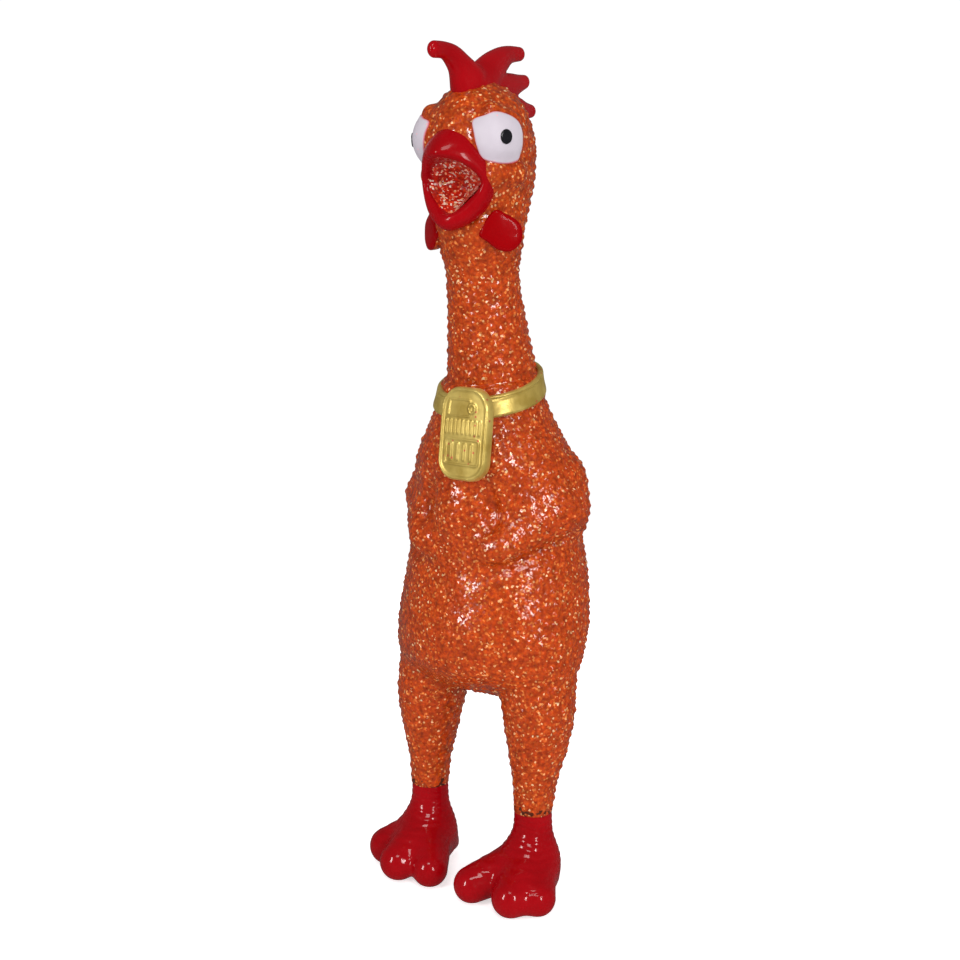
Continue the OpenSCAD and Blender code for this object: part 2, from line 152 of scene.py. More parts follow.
def glitter(name, grain=0.60, stops=None, tilt=0.34, dark_line=None, metal=0.0, mottle=(0.39, 0.037, 0.0030), cells=0.70):
    m, nt, b = new_mat(name)
    # the brightest few flakes at the top of this ramp run to cream white: painted glints
    stops = stops or [(0.0, (0.36, 0.029, 0.0020)), (0.14, (0.41, 0.038, 0.0026)), (0.5, (0.48, 0.051, 0.0034)),
                      (0.88, (0.56, 0.080, 0.0065)), (0.975, (0.84, 0.27, 0.060)), (1.0, (1.0, 0.76, 0.42))]
    rnd, tl, dist = flakes(nt, 1 / 0.74, tilt, 3.1)
    col = ramp(nt, rnd[0], stops)
    # flakes deeper in the clear vinyl, larger and darker, show between the top ones
    rnd2, tl2, d2 = flakes(nt, 1 / 1.7, 0.3, 11.7)
    shade = math_n(nt, "MULTIPLY_ADD", rnd2[1], 0.28, 0.86)
    comb = node(nt, "ShaderNodeCombineColor")
    for i in range(3):
        nt.links.new(shade, comb.inputs[i])
    col = mix_col(nt, 1.0, col, comb.outputs[0], "MULTIPLY")
    # a few larger golden flakes, painted bright into the colour: painted glints
    rnd4, _, d4 = flakes(nt, 1 / 1.2, 0.2, 23.1)
    painted_glint_flakes = math_n(nt, "MULTIPLY", math_n(nt, "GREATER_THAN", rnd4[0], 0.955), math_n(nt, "LESS_THAN", d4, 0.40))
    col = mix_col(nt, math_n(nt, "MULTIPLY", painted_glint_flakes, 0.8), col, (1.0, 0.56, 0.24))
    # broad mottling where the vinyl is thicker
    ns = node(nt, "ShaderNodeTexNoise")
    ns.inputs["Scale"].default_value = 1.0
    ns.inputs["Detail"].default_value = 2.0
    nt.links.new(rest(nt, 1 / 9.0), ns.inputs["Vector"])
    col = mix_col(nt, math_n(nt, "MULTIPLY", ns.outputs[0], 0.45), col, mottle)
    if dark_line is not None:
        # bare dark flakes along the paint line at the ankle
        a = node(nt, "ShaderNodeAttribute", attribute_type="GEOMETRY", attribute_name="rest_co")
        sx = node(nt, "ShaderNodeSeparateXYZ")
        nt.links.new(a.outputs["Vector"], sx.inputs[0])
        near = math_n(nt, "SUBTRACT", 1.0, math_n(nt, "DIVIDE", math_n(nt, "SUBTRACT", sx.outputs[2], dark_line), 3.6), clamp=True)
        r3, _, _ = flakes(nt, 1 / 1.3, 0.2, 5.3)
        pick = math_n(nt, "LESS_THAN", r3[2], math_n(nt, "MULTIPLY", near, 0.34))
        col = mix_col(nt, pick, col, (0.09, 0.016, 0.005))
    # leathery cells of the moulded skin, painted a little darker in the grooves between cells: painted shade
    vc = node(nt, "ShaderNodeTexVoronoi", feature="SMOOTH_F1")
    vc.inputs["Scale"].default_value = 1.0
    vc.inputs["Smoothness"].default_value = 0.35
    nt.links.new(rest(nt, 1 / 1.75), vc.inputs["Vector"])
    groove_shade_painted = math_n(nt, "MULTIPLY_ADD", vc.outputs["Distance"], -cells, 1.0 + 0.36 * cells)
    comb2 = node(nt, "ShaderNodeCombineColor")
    for i in range(3):
        nt.links.new(groove_shade_painted, comb2.inputs[i])
    col = mix_col(nt, 1.0, col, comb2.outputs[0], "MULTIPLY")
    nt.links.new(col, b.inputs["Base Color"])
    met = math_n(nt, "MULTIPLY", math_n(nt, "GREATER_THAN", rnd[2], 1.0 - metal), 0.9)
    nt.links.new(met, b.inputs["Metallic"])
    nt.links.new(math_n(nt, "MULTIPLY_ADD", rnd[1], 0.22, 0.24), b.inputs["Roughness"])
    geo = node(nt, "ShaderNodeNewGeometry")
    bump = node(nt, "ShaderNodeBump")
    bump.inputs["Strength"].default_value = grain
    bump.inputs["Distance"].default_value = 0.0006
    nt.links.new(math_n(nt, "SUBTRACT", 1.0, vc.outputs["Distance"]), bump.inputs["Height"])
    ad = node(nt, "ShaderNodeVectorMath", operation="ADD")
    nt.links.new(bump.outputs[0], ad.inputs[0])
    nt.links.new(tl, ad.inputs[1])
    nm = node(nt, "ShaderNodeVectorMath", operation="NORMALIZE")
    nt.links.new(ad.outputs[0], nm.inputs[0])
    nt.links.new(nm.outputs[0], b.inputs["Normal"])
    b.inputs["Specular IOR Level"].default_value = 0.08
    b.inputs["Coat Weight"].default_value = 0.75
    b.inputs["Coat Roughness"].default_value = 0.12
    b.inputs["Coat IOR"].default_value = 1.58
    # the clear top layer is smoother than the cells, and each flake near it glints a little on its own
    bump2 = node(nt, "ShaderNodeBump")
    bump2.inputs["Strength"].default_value = grain * 0.14
    bump2.inputs["Distance"].default_value = 0.0006
    nt.links.new(math_n(nt, "SUBTRACT", 1.0, vc.outputs["Distance"]), bump2.inputs["Height"])
    sc2 = node(nt, "ShaderNodeVectorMath", operation="SCALE")
    nt.links.new(tl, sc2.inputs[0])
    sc2.inputs["Scale"].default_value = 0.42
    ad2 = node(nt, "ShaderNodeVectorMath", operation="ADD")
    nt.links.new(bump2.outputs[0], ad2.inputs[0])
    nt.links.new(sc2.outputs[0], ad2.inputs[1])
    nm2 = node(nt, "ShaderNodeVectorMath", operation="NORMALIZE")
    nt.links.new(ad2.outputs[0], nm2.inputs[0])
    nt.links.new(nm2.outputs[0], b.inputs["Coat Normal"])
    return m


def paint(name, c0, c1, rough=(0.14, 0.26), spec=0.5, speck=None, bump_s=0.12, bump_scale=3.0, metallic=0.0, coat=0.0, edge=None, scale=12.0):
    m, nt, b = new_mat(name)
    ns = node(nt, "ShaderNodeTexNoise")
    ns.inputs["Scale"].default_value = 1.0
    ns.inputs["Detail"].default_value = 4.0
    nt.links.new(rest(nt, 1 / scale), ns.inputs["Vector"])
    col = ramp(nt, ns.outputs[0], [(0.32, c0), (0.68, c1)])
    if speck:
        r, _, d = flakes(nt, 1 / speck[1], 0.2, 7.7)
        hit = math_n(nt, "MULTIPLY", math_n(nt, "LESS_THAN", r[0], speck[2]), math_n(nt, "LESS_THAN", d, speck[3]))
        col = mix_col(nt, hit, col, speck[0])
    if edge:
        a = node(nt, "ShaderNodeAttribute", attribute_type="GEOMETRY", attribute_name="edge")
        col = mix_col(nt, a.outputs["Fac"], col, edge)
    nt.links.new(col, b.inputs["Base Color"])
    n2 = node(nt, "ShaderNodeTexNoise")
    n2.inputs["Scale"].default_value = 1.0
    n2.inputs["Detail"].default_value = 3.0
    nt.links.new(rest(nt, 1 / bump_scale), n2.inputs["Vector"])
    rr = node(nt, "ShaderNodeMapRange")
    rr.inputs["To Min"].default_value = rough[0]
    rr.inputs["To Max"].default_value = rough[1]
    nt.links.new(n2.outputs[0], rr.inputs["Value"])
    nt.links.new(rr.outputs[0], b.inputs["Roughness"])
    bump = node(nt, "ShaderNodeBump")
    bump.inputs["Strength"].default_value = bump_s
    bump.inputs["Distance"].default_value = 0.0006
    nt.links.new(n2.outputs[0], bump.inputs["Height"])
    nt.links.new(bump.outputs[0], b.inputs["Normal"])
    b.inputs["Specular IOR Level"].default_value = spec
    b.inputs["Metallic"].default_value = metallic
    b.inputs["Coat Weight"].default_value = coat
    b.inputs["Coat Roughness"].default_value = 0.06
    return m


SKIN = glitter("glitter_vinyl")
ANKLE = glitter("glitter_vinyl_ankle", dark_line=34.0)
# the mouth's brightest flakes run to cream white: painted glints
MOUTH = glitter("mouth_vinyl", grain=0.3, tilt=0.3, metal=0.0, mottle=(0.36, 0.008, 0.004), cells=0.5, stops=[
    (0.0, (0.34, 0.006, 0.003)), (0.5, (0.58, 0.018, 0.006)), (0.80, (0.80, 0.060, 0.014)),
    (0.86, (1.0, 0.46, 0.22)), (0.91, (1.0, 0.86, 0.68)), (1.0, (1.0, 0.96, 0.86))])
RED = paint("red_paint", (0.285, 0.0010, 0.0032), (0.335, 0.0017, 0.0047), rough=(0.20, 0.34), spec=0.05, bump_s=0.16, bump_scale=1.5, coat=0.24)
# the feet's copy of the red paint is a touch darker than the beak's red: painted shade
RED_FOOT_DARKENED = paint("red_paint_foot_darkened", (0.275, 0.0008, 0.0030), (0.325, 0.0014, 0.0044), rough=(0.20, 0.34), spec=0.04, bump_s=0.16, bump_scale=1.5, coat=0.55)
# the comb's copy of the red paint is smoother and mixed lighter than the beak's red: the lighter colour is painted
# light, making up for the comb's weaker lighting
RED_SMOOTH_LIGHTENED = paint("red_paint_smooth_lightened", (0.31, 0.0008, 0.0032), (0.37, 0.0014, 0.0046), rough=(0.20, 0.30), spec=0.05, bump_s=0.06, bump_scale=3.2, coat=0.55)
# the wattles' copy of the red paint is mixed darker than the beak's red: painted shade, for wattles that face the
# lamps
RED_WATTLE_DARKENED = paint("red_paint_wattle_darkened", (0.255, 0.0003, 0.0014), (0.285, 0.0006, 0.0021), rough=(0.24, 0.36), spec=0.03, bump_s=0.10, bump_scale=2.2, coat=0.08)
GOLD = paint("gold_paint", (0.48, 0.325, 0.062), (0.74, 0.555, 0.150), rough=(0.26, 0.42), metallic=0.5, bump_s=0.10, bump_scale=1.4,
             speck=((0.62, 0.16, 0.07), 1.9, 0.10, 0.24), scale=7.0)
WHITE = paint("eye_white", (0.53, 0.475, 0.53), (0.575, 0.52, 0.57), rough=(0.34, 0.46), spec=0.12, bump_s=0.05, bump_scale=3.0,
              speck=((0.80, 0.42, 0.46), 1.5, 0.05, 0.22), edge=(0.62, 0.10, 0.14))
BLACK = paint("pupil_black", (0.004, 0.004, 0.005), (0.009, 0.009, 0.011), rough=(0.08, 0.16), spec=0.5, bump_s=0.04)


def node_plastic(name, c0, c1, rough, scale):
    m, nt, b = new_mat(name)
    tc = node(nt, "ShaderNodeTexCoord")
    ns = node(nt, "ShaderNodeTexNoise")
    ns.inputs["Scale"].default_value = scale
    ns.inputs["Detail"].default_value = 5.0
    nt.links.new(tc.outputs["Object"], ns.inputs["Vector"])
    nt.links.new(ramp(nt, ns.outputs[0], [(0.3, c0), (0.7, c1)]), b.inputs["Base Color"])
    nt.links.new(math_n(nt, "MULTIPLY_ADD", ns.outputs[0], 0.2, rough), b.inputs["Roughness"])
    bump = node(nt, "ShaderNodeBump")
    bump.inputs["Strength"].default_value = 0.15
    bump.inputs["Distance"].default_value = 0.0002
    nt.links.new(ns.outputs[0], bump.inputs["Height"])
    nt.links.new(bump.outputs[0], b.inputs["Normal"])
    return m


PLASTIC = node_plastic("squeaker_plastic", (0.80, 0.78, 0.72), (0.86, 0.85, 0.80), 0.32, 420.0)
REED = node_plastic("reed_strip", (0.55, 0.50, 0.42), (0.66, 0.60, 0.50), 0.2, 700.0)


# ---------------------------------------------------------------- mesh helpers
def surface_nets(f, lo, hi, h):
    lo = np.asarray(lo, float)
    n = np.ceil((np.asarray(hi, float) - lo) / h).astype(int) + 1
    ax = [lo[i] + h * np.arange(n[i]) for i in range(3)]
    V = np.empty(tuple(n))
    Y, Z = np.meshgrid(ax[1], ax[2], indexing="ij")
    step = max(1, int(400000 / (n[1] * n[2])))
    for i in range(0, n[0], step):
        xs = ax[0][i:i + step]
        P = np.empty((len(xs), n[1], n[2], 3))
        P[..., 0] = xs[:, None, None]
        P[..., 1] = Y[None]
        P[..., 2] = Z[None]
        V[i:i + step] = f(P.reshape(-1, 3)).reshape(len(xs), n[1], n[2])
    ins = V < 0
    nc = n - 1
    acc = np.zeros(tuple(nc) + (3,))
    cnt = np.zeros(tuple(nc))
    crosses = []
    for a in range(3):
        s0 = [slice(None)] * 3
        s1 = [slice(None)] * 3
        s0[a] = slice(0, -1)
        s1[a] = slice(1, None)
        s0, s1 = tuple(s0), tuple(s1)
        cr_ = ins[s0] != ins[s1]
        crosses.append((cr_, ins[s0]))
        t = np.where(cr_, V[s0] / np.where(cr_, V[s0] - V[s1], 1.0), 0.0)
        o = [i for i in range(3) if i != a]
        for da in (0, 1):
            for db in (0, 1):
                src = [slice(None)] * 3
                src[o[0]] = slice(da, da + nc[o[0]])
                src[o[1]] = slice(db, db + nc[o[1]])
                c = cr_[tuple(src)].astype(float)
                acc[..., a] += c * t[tuple(src)]
                acc[..., o[0]] += c * da
                acc[..., o[1]] += c * db
                cnt += c
    used = np.argwhere(cnt > 0)
    idx = -np.ones(tuple(nc), int)
    idx[tuple(used.T)] = np.arange(len(used))
    P = lo + h * (used + acc[tuple(used.T)] / cnt[tuple(used.T)][:, None])
    quads = []
    for a in range(3):
        cr_, i0 = crosses[a]
        o0, o1 = (a + 1) % 3, (a + 2) % 3
        E = np.argwhere(cr_)
        E = E[(E[:, o0] > 0) & (E[:, o0] < nc[o0]) & (E[:, o1] > 0) & (E[:, o1] < nc[o1])]
        first_in = i0[tuple(E.T)]
        q = []
        for d0, d1 in ((0, 0), (1, 0), (1, 1), (0, 1)):
            e = E.copy()
            e[:, o0] -= d0
            e[:, o1] -= d1
            q.append(idx[tuple(e.T)])
        q = np.stack(q, 1)
        q[~first_in] = q[~first_in][:, ::-1]
        quads.append(q)
    return P, np.concatenate(quads)


def edges_of(Q):
    E = np.concatenate([Q[:, [0, 1]], Q[:, [1, 2]], Q[:, [2, 3]], Q[:, [3, 0]]])
    E.sort(axis=1)
    return E


def relax(P, Q, times, amount=0.5):
    E = np.unique(edges_of(Q), axis=0)
    deg = np.bincount(E.ravel(), minlength=len(P))[:, None].astype(float)
    for _ in range(times):
        S = np.zeros_like(P)
        for k in range(3):
            S[:, k] = np.bincount(E[:, 0], P[E[:, 1], k], len(P)) + np.bincount(E[:, 1], P[E[:, 0], k], len(P))
        P = P + amount * (S / np.maximum(deg, 1) - P)
    return P


def newton(f, P, times=3, cap=0.6, off=0.0):
    e = 0.02
    for _ in range(times):
        v = f(P) - off
        g = np.stack([f(P + np.eye(3)[i] * e) - off - v for i in range(3)], 1) / e
        s = v / np.maximum((g * g).sum(1), 0.05)
        d = s[:, None] * g
        L = np.linalg.norm(d, axis=1, keepdims=True)
        P = P - d * np.minimum(1.0, cap / np.maximum(L, 1e-9))
    return P


def subdivide(P, Q):
    n = len(P)
    E = edges_of(Q)
    U, inv = np.unique(E, axis=0, return_inverse=True)
    inv = np.asarray(inv).reshape(-1)
    m = len(Q)
    e = [inv[i * m:(i + 1) * m] + n for i in range(4)]
    c = np.arange(m) + n + len(U)
    P2 = np.concatenate([P, (P[U[:, 0]] + P[U[:, 1]]) / 2, P[Q].mean(1)])
    Q2 = np.concatenate([np.stack([Q[:, 0], e[0], c, e[3]], 1), np.stack([Q[:, 1], e[1], c, e[0]], 1),
                         np.stack([Q[:, 2], e[2], c, e[1]], 1), np.stack([Q[:, 3], e[3], c, e[2]], 1)])
    return P2, Q2


def normals(P, Q):
    a = np.cross(P[Q[:, 2]] - P[Q[:, 0]], P[Q[:, 3]] - P[Q[:, 1]])
    N = np.zeros_like(P)
    for k in range(3):
        for j in range(4):
            N[:, k] += np.bincount(Q[:, j], a[:, k], len(P))
    return N / np.maximum(np.linalg.norm(N, axis=1, keepdims=True), 1e-12)


def build(name, P, F, mats, N=None, restP=None, face_mat=None, edge=None, loose_tris=None):
    """P in working mm; F (n,4) quads, a repeated last corner marks a triangle"""
    me = bpy.data.meshes.new(name)
    F = np.asarray(F)
    tri = (F[:, 3] == F[:, 2]) | (F[:, 3] == F[:, 0]) if F.shape[1] == 4 else np.ones(len(F), bool)
    cnt = np.where(tri, 3, 4)
    loops = np.concatenate([f[:c] for f, c in zip(F, cnt)]) if tri.any() else F.ravel()
    me.vertices.add(len(P))
    me.vertices.foreach_set("co", cad(P).astype(np.float32).ravel())
    me.loops.add(len(loops))
    me.loops.foreach_set("vertex_index", loops.astype(np.int32))
    me.polygons.add(len(F))
    me.polygons.foreach_set("loop_start", (np.cumsum(cnt) - cnt).astype(np.int32))
    for m in mats:
        me.materials.append(m)
    if face_mat is not None:
        me.polygons.foreach_set("material_index", np.asarray(face_mat, np.int32))
    me.update(calc_edges=True)
    me.polygons.foreach_set("use_smooth", np.ones(len(F), bool))
    r = me.attributes.new("rest_co", "FLOAT_VECTOR", "POINT")
    r.data.foreach_set("vector", np.asarray(P if restP is None else restP, np.float32).ravel())
    if edge is not None:
        a = me.attributes.new("edge", "FLOAT", "POINT")
        a.data.foreach_set("value", np.asarray(edge, np.float32))
    me.update()
    if N is not None:
        me.normals_split_custom_set_from_vertices(N.tolist())
    o = bpy.data.objects.new(name, me)
    bpy.context.scene.collection.objects.link(o)
    return o


def take(P, Q, N, faces):
    F = Q[faces]
    u, inv = np.unique(F, return_inverse=True)
    return P[u], np.asarray(inv).reshape(F.shape), N[u], u


# ---------------------------------------------------------------- implicit body
def table(rows, sigma=2.0, step=0.25):
    rows = np.array(sorted(rows), float)
    z = np.arange(rows[0, 0] - 8, rows[-1, 0] + 8, step)
    w = int(4 * sigma / step)
    k = np.exp(-0.5 * (np.arange(-w, w + 1) * step / sigma) ** 2)
    k /= k.sum()
    return [z] + [np.convolve(np.pad(np.interp(z, rows[:, 0], rows[:, c]), w, mode="edge"), k, "valid") for c in range(1, rows.shape[1])]


def at(T, z, c):
    return np.interp(z, T[0], T[c])


def smin(a, b, k):
    h = np.maximum(k - np.abs(a - b), 0.0) / k
    return np.minimum(a, b) - h * h * k * 0.25


def smax(a, b, k):
    return -smin(-a, -b, k)


def capsule(P, a, b, ra, rb):
    a, b = np.asarray(a, float), np.asarray(b, float)
    d = b - a
    t = np.clip((P - a) @ d / (d @ d), 0, 1)
    return np.linalg.norm(P - a - t[:, None] * d, axis=1) - (ra + (rb - ra) * t)


def ellipsoid(P, c, r):
    q = (P - np.asarray(c, float)) / np.asarray(r, float)
    g = np.sqrt((q * q).sum(1)) + 1e-9
    q2 = q / np.asarray(r, float)
    return g * (g - 1) / (np.sqrt((q2 * q2).sum(1)) + 1e-9)


def oval(P, T):
    z = P[:, 2]
    rx, ry, cy = at(T, z, 1), at(T, z, 2), at(T, z, 3)
    x, y = P[:, 0], P[:, 1] - cy
    g = np.sqrt((x / rx) ** 2 + (y / ry) ** 2) + 1e-9
    return (g - 1) * np.sqrt(x * x + y * y + 1e-9) / g


#            z     rx    ry    cy
T_TORSO = table([[76, 5, 5, 6], [78, 10, 9, 6], [80, 16, 14, 6.2], [83, 23, 19.5, 6.4], [87, 30.1, 25.5, 6.6], [92, 35.5, 29.9, 7],
                 [98, 37.2, 31.3, 8.1], [104, 38.4, 32.4, 9.2], [110, 38.2, 32.6, 10.1], [118, 37.4, 32.0, 11.1], [126, 36.2, 31.4, 11.8],
                 [134, 34.6, 30.6, 11.6], [141, 32.8, 29.8, 11.8], [149, 31.6, 29.2, 12.4], [157, 31.2, 29.2, 12.0], [165, 30.8, 29.0, 11.2],
                 [170, 29.8, 28.4, 10.2], [175, 27.4, 26.6, 9.2], [180, 24.8, 24.2, 8.9], [185, 22.5, 22.0, 8.6], [190, 20.5, 20.1, 8.2],
                 [195, 19.0, 18.8, 7.9], [200, 17.9, 17.9, 7.9], [210, 17.2, 17.2, 7.6]], 1.8)
T_LEG = table([[30, 7.4, 24.5, 0.3], [34, 7.5, 24.5, 0.3], [39, 7.7, 24.6, 0.5], [44, 8.1, 24.7, 0.8], [53, 10.0, 25, 1.5], [62, 12.1, 25.2, 2.3],
               [70, 13.5, 25.1, 2.8], [75, 13.9, 24.9, 3.1], [80, 14.5, 23.9, 3.6], [85, 15.3, 23.0, 4.4], [90, 16.0, 22.0, 5.2], [96, 16.6, 21.0, 6.2], [104, 16, 20, 7.4], [112, 13, 19, 8.6]], 2.0)
T_NECK = table([[-12, 17.2], [0, 16.7], [5, 16.3], [10, 15.6], [16, 14.8], [22, 14.3], [30, 13.6], [38, 13.0], [44, 12.9], [52, 13.6], [60, 15]], 2.0)
T_HEAD = table([[238, 9, 9, 2.4], [243, 12.0, 12.4, 2.0], [248, 13.4, 14.4, 1.8], [253, 14.4, 15.8, 1.6], [258, 15.4, 17.4, 1.5], [264, 16.6, 19.8, 1.3],
                [271, 17.6, 22.0, 1.1], [278, 18.0, 23.0, 1.0], [285, 18.0, 22.8, 0.8], [291, 17.0, 21.2, 0.6], [296, 15.6, 18.8, 0.3],
                [300, 13.0, 15.9, 0.2], [303, 9.8, 12.2, 0.2], [305, 6.2, 7.9, 0.2], [306, 2.8, 3.7, 0.2]], 1.3)
A10 = math.radians(10)
N0 = np.array([0.0, 8.0, 200.0])
NA = np.array([0.0, -math.sin(A10), math.cos(A10)])
EYE_C = np.array([9.8, -7.7, 286.0])


def neck_z(P):
    return (P - N0) @ NA


def body_f(P):
    x, y, z = P.T
    M = np.stack([np.abs(x), y, z], 1)
    out = np.full(len(P), 60.0)
    zp = neck_z(P)
    low = z < 214
    if low.any():
        Q, m, zz = P[low], M[low], z[low]
        t = smax(oval(Q, T_TORSO), 76.2 - zz, 3.0)
        leg = np.hypot(m[:, 0] - at(T_LEG, zz, 2), m[:, 1] - at(T_LEG, zz, 3)) - at(T_LEG, zz, 1)
        leg = smax(leg, zz - 112, 4.0)
        f = smin(t, leg, 8.0)
        # folded wings: shoulder, elbow, tip
        w = smin(smin(capsule(m, (21.6, 5.5, 163.0), (26.8, 9, 151), 8.8, 10.6), capsule(m, (25.2, 16.5, 161.0), (27.2, 14.5, 149.5), 10.2, 11.0), 5.0), capsule(m, (26.4, 7, 150.5), (15.8, -10.8, 139.8), 10.6, 7.8), 4.0)
        f = smin(f, w, 5.0)
        # breast between the wing tips
        f = smin(f, ellipsoid(m, (0, -3, 150), (12.5, 17.0, 17)), 5.0)
        # tail stub
        f = smin(f, capsule(m, (0, 34, 110), (0, 41.6, 118.6), 7.4, 3.8), 6.0)
        # hollow between breast and wing, and the fold under each wing
        f = f + 3.2 * np.exp(-((m[:, 0] - 14.2 + 0.20 * (zz - 152)) / 3.2) ** 2 - ((zz - 154) / 10.5) ** 2) * np.clip((8 - m[:, 1]) / 6, 0, 1)
        fold = zz - (132.6 + 0.42 * (m[:, 1] + 12) + 0.10 * np.maximum(m[:, 0] - 17, 0))
        f = f + 2.7 * np.exp(-(fold / 3.2) ** 2) * np.exp(-((m[:, 0] - 22) / 12.0) ** 2) * np.clip((30 - m[:, 1]) / 10, 0, 1)
        # the lower body ends at the plane where the neck begins, with a soft edge
        f = smax(f, zp[low] - 0.15, 0.9)
        out[low] = f
    top = z > 186
    if top.any():
        Q, m, zz, zq = P[top], M[top], z[top], zp[top]
        d = Q - N0
        r = np.linalg.norm(d - zq[:, None] * NA, axis=1)
        neck = r - at(T_NECK, zq, 1)
        neck = smax(smax(neck, -6 - zq, 1.0), zq - 58, 2.0)
        head = smax(smax(oval(Q, T_HEAD), zz - 305.9, 2.0), 236 - zz, 2.0)
        head = smin(head, capsule(m, (3.0, -16.4, 292.6), (12.8, -11.8, 294.6), 2.4, 2.6), 2.6)     # brow
        head = smin(head, capsule(m, (12.8, -11.8, 294.6), (17.4, -4.6, 291.8), 2.6, 2.4), 2.6)
        head = smin(head, capsule(m, (12.2, -12.6, 273.0), (17.2, -2.6, 273.4), 4.0, 3.6), 4.0)     # cheek
        head = smin(head, np.linalg.norm(m - EYE_C, axis=1) - 11.5, 1.6)
        nh = smin(neck, head, 6.0)
        nh = smax(nh, -ellipsoid(Q, (0, -19.5, 269.4), (11.8, 12.8, 12.8)), 0.6)                    # mouth hollow
        out[top] = smin(out[top], nh, 0.7)
    return out


rng = np.random.default_rng(11)
H = 1.0
P, Q = surface_nets(body_f, (-44, -27, 33.2), (44, 48, 308), H)
P = relax(P, Q, 2, 0.5)
P = newton(body_f, P, 3)
P, Q = subdivide(P, Q)
P = newton(body_f, P, 2)
P = relax(P, Q, 1, 0.4)
P = newton(body_f, P, 2)
base = P.copy()
Nb = normals(P, Q)

# moulded studs: scattered on the neck, sides, back, legs and the back of the head
cz = neck_z(P)


def stud_share(P, N):
    front = -N[:, 1]
    s = np.clip((0.80 - front) / 0.35, 0.0, 1.0)
    neck = (cz > 1.5) & (P[:, 2] < 247)
    # the studs are flatter on the front left of the neck
    face = 0.26 * N[:, 0] - 0.966 * N[:, 1]
    s = np.where(neck, np.clip(0.42 + 0.58 * (0.80 - face) / 0.5, 0.42, 1.0), s)
    leg = (P[:, 2] < 84)
    s = np.where(leg, np.maximum(s, 0.5), s)
    head = P[:, 2] >= 247
    hs = np.clip((P[:, 1] + 3.0) / 8.0, 0, 1)
    hs = np.maximum(hs, np.clip((P[:, 2] - 298) / 4, 0, 0.7))
    s = np.where(head, hs, s)
    chest = (P[:, 2] > 150) & (P[:, 2] < 199)
    s = np.where(chest, np.maximum(s, 0.35), s)
    return s


share = stud_share(P, Nb)
near_eye = np.linalg.norm(np.stack([np.abs(P[:, 0]), P[:, 1], P[:, 2]], 1) - EYE_C, axis=1) < 14.0
share = np.where(near_eye, 0, share)
near_crease = np.abs(cz) < 1.4
share = np.where(near_crease, 0, share)
share = np.where(P[:, 2] < 36.5, 0, share)
cand = rng.permutation(len(P))[: 60000]
cand = cand[share[cand] > 0.12]
cell = {}
studs = []
R0 = 3.0
for i in cand:
    p = P[i]
    k = (int(p[0] // R0), int(p[1] // R0), int(p[2] // R0))
    ok = True
    for dx in (-1, 0, 1):
        for dy in (-1, 0, 1):
            for dz in (-1, 0, 1):
                for j in cell.get((k[0] + dx, k[1] + dy, k[2] + dz), ()):
                    q = P[j]
                    if (p[0] - q[0]) ** 2 + (p[1] - q[1]) ** 2 + (p[2] - q[2]) ** 2 < R0 * R0:
                        ok = False
                        break
                if not ok:
                    break
            if not ok:
                break
        if not ok:
            break
    if ok:
        cell.setdefault(k, []).append(i)
        studs.append(i)
studs = np.array(studs)
kd = kdtree.KDTree(len(studs))
for a, i in enumerate(studs):
    kd.insert(P[i], a)
kd.balance()
size = rng.uniform(0.85, 1.15, len(studs))
d = np.empty(len(P))
which = np.empty(len(P), int)
for i in range(len(P)):
    _, j, dd = kd.find(P[i])
    d[i] = dd
    which[i] = j
hs = size[which] * np.clip(share[studs[which]] * 1.15, 0, 1)
r = d / (1.36 * size[which])
height = 0.56 * hs * np.maximum(1 - r * r, 0.0) ** 1.5
# shallow cast unevenness of the skin
uneven = 0.10 * np.sin(P[:, 0] * 0.61 + 1.3 * np.sin(P[:, 2] * 0.23)) * np.sin(P[:, 2] * 0.47 + P[:, 1] * 0.39)
D = P + Nb * (height + uneven)[:, None]
ND = normals(D, Q)
print("skin", len(P), "studs", len(studs))

C = base[Q].mean(1)
fz = neck_z(C)
fl = 0.5 * (np.abs(C[:, 0]) - 8) - 0.87 * (C[:, 2] - 80.5)
leg = (fl > 0) & (C[:, 2] < 100)
regions = {}
regions["leg"] = leg & (C[:, 2] >= 44)
regions["ankle"] = leg & (C[:, 2] < 44) & (C[:, 2] > 34.0)
torso = ~leg & (fz < 0.1) & (C[:, 2] < 215)
regions["belly_skin"] = torso & (C[:, 2] < 133)
regions["chest_skin"] = torso & (C[:, 2] >= 133)
regions["neck_low_skin"] = ~torso & ~leg & (fz < 12)
regions["neck_mid_skin"] = ~torso & ~leg & (fz >= 12) & (fz < 30)
regions["neck_top_skin"] = ~torso & ~leg & (fz >= 30) & (fz < 46)
regions["face_skin"] = ~torso & ~leg & (fz >= 46)

# the vertices shared by the belly and the chest lie on one level, so the two blended pieces keep meeting
shared = np.intersect1d(Q[regions["belly_skin"]], Q[regions["chest_skin"]])
D[shared, 2] = 133.0
base[shared, 2] = 133.0
made = {}
for k, sel in regions.items():
    sides = [(k, sel)] if k not in ("leg", "ankle") else [("left_%s_skin" % k, sel & (C[:, 0] > 0)), ("right_%s_skin" % k, sel & (C[:, 0] < 0))]
    for name, s in sides:
        p, f, n, u = take(D, Q, ND, s)
        if "ankle" in name:
            low = p[:, 2] < 34.5
            p[low, 2] = np.maximum(p[low, 2], 33.6)
        made[name] = build(name, p, f, [ANKLE if "ankle" in name else SKIN], N=n, restP=base[u])


def bl(name):
    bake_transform(made[name])


